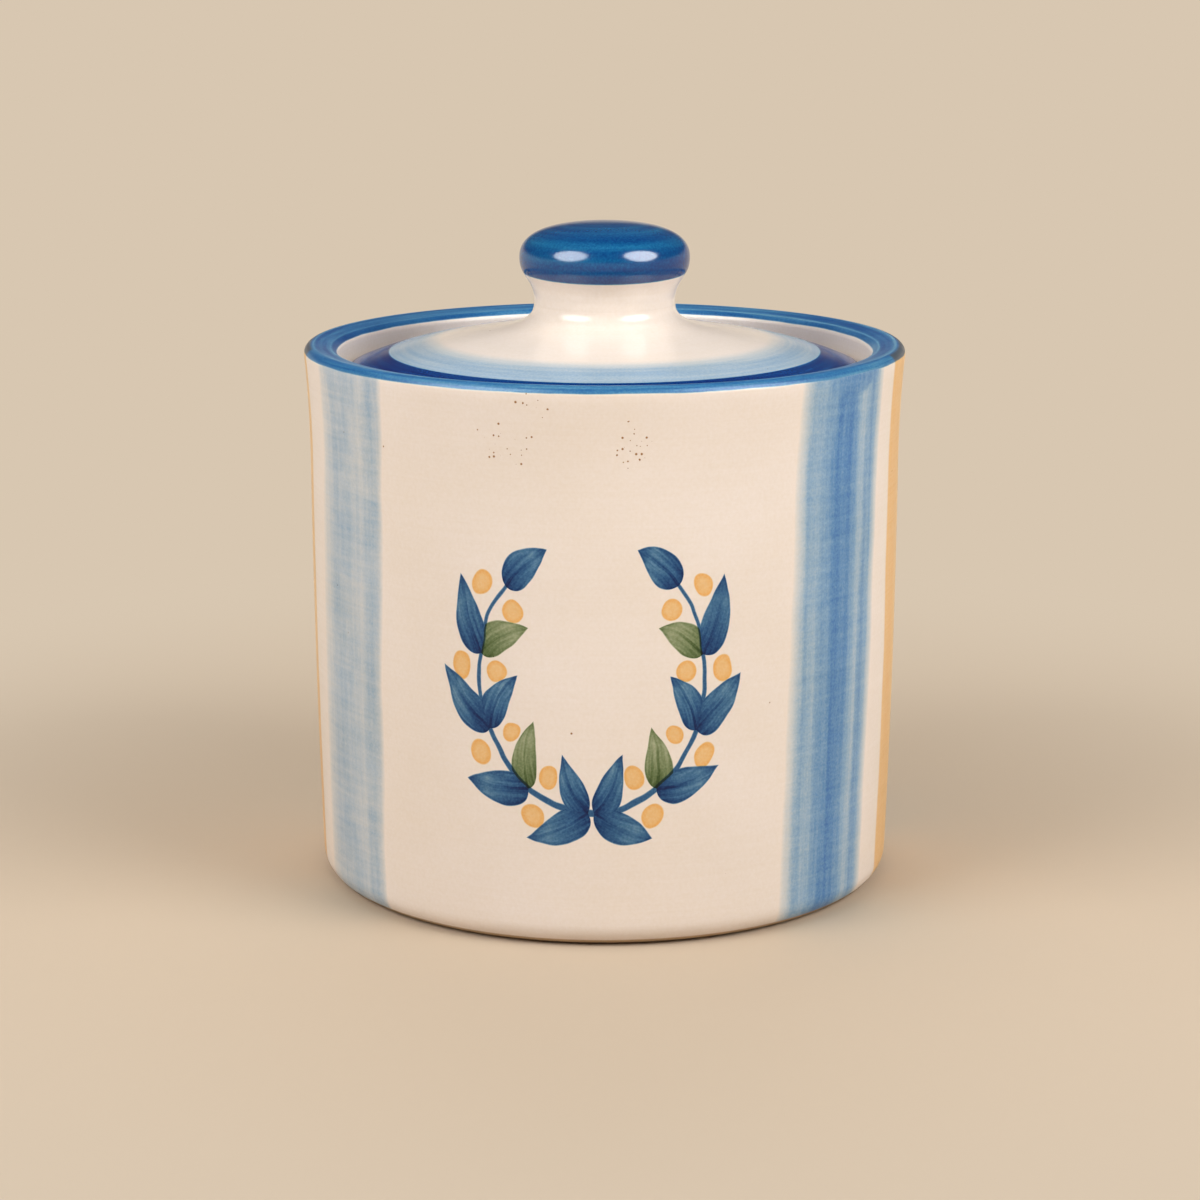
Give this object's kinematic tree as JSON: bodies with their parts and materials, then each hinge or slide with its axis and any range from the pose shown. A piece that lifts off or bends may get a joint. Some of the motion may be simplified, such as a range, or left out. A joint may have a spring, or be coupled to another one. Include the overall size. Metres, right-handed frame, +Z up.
{
  "type": "sugar canister",
  "caption": "Round glazed stoneware canister with a flared rim and an inset lid with a bun-shaped knob, for keeping sugar on a kitchen shelf.",
  "frame": {"origin": "on the table, at the middle of the jar's foot ring", "axes": "+Z up along the axis that the jar was thrown on, -Y towards the decorated front"},
  "size_m": [0.15, 0.15, 0.1648],
  "materials": {
    "jar_glaze": "satin cream glaze over stoneware, blue brushed rim and vertical bands",
    "lid_glaze": "glossy cream glaze over stoneware, pale and dark blue banding at the edge",
    "knob_glaze": "glossy deep blue brushed underglaze, cream below"
  },
  "bodies": {
    "jar": {"jar": "jar_glaze"},
    "lid": {"lid": "lid_glaze", "knob": "knob_glaze"}
  },
  "joints": [
    {"name": "lid_lift", "type": "slide", "parent": "jar", "child": "lid", "axis": [0, 0, 1], "range_m": [0, 0.15]}
  ]
}
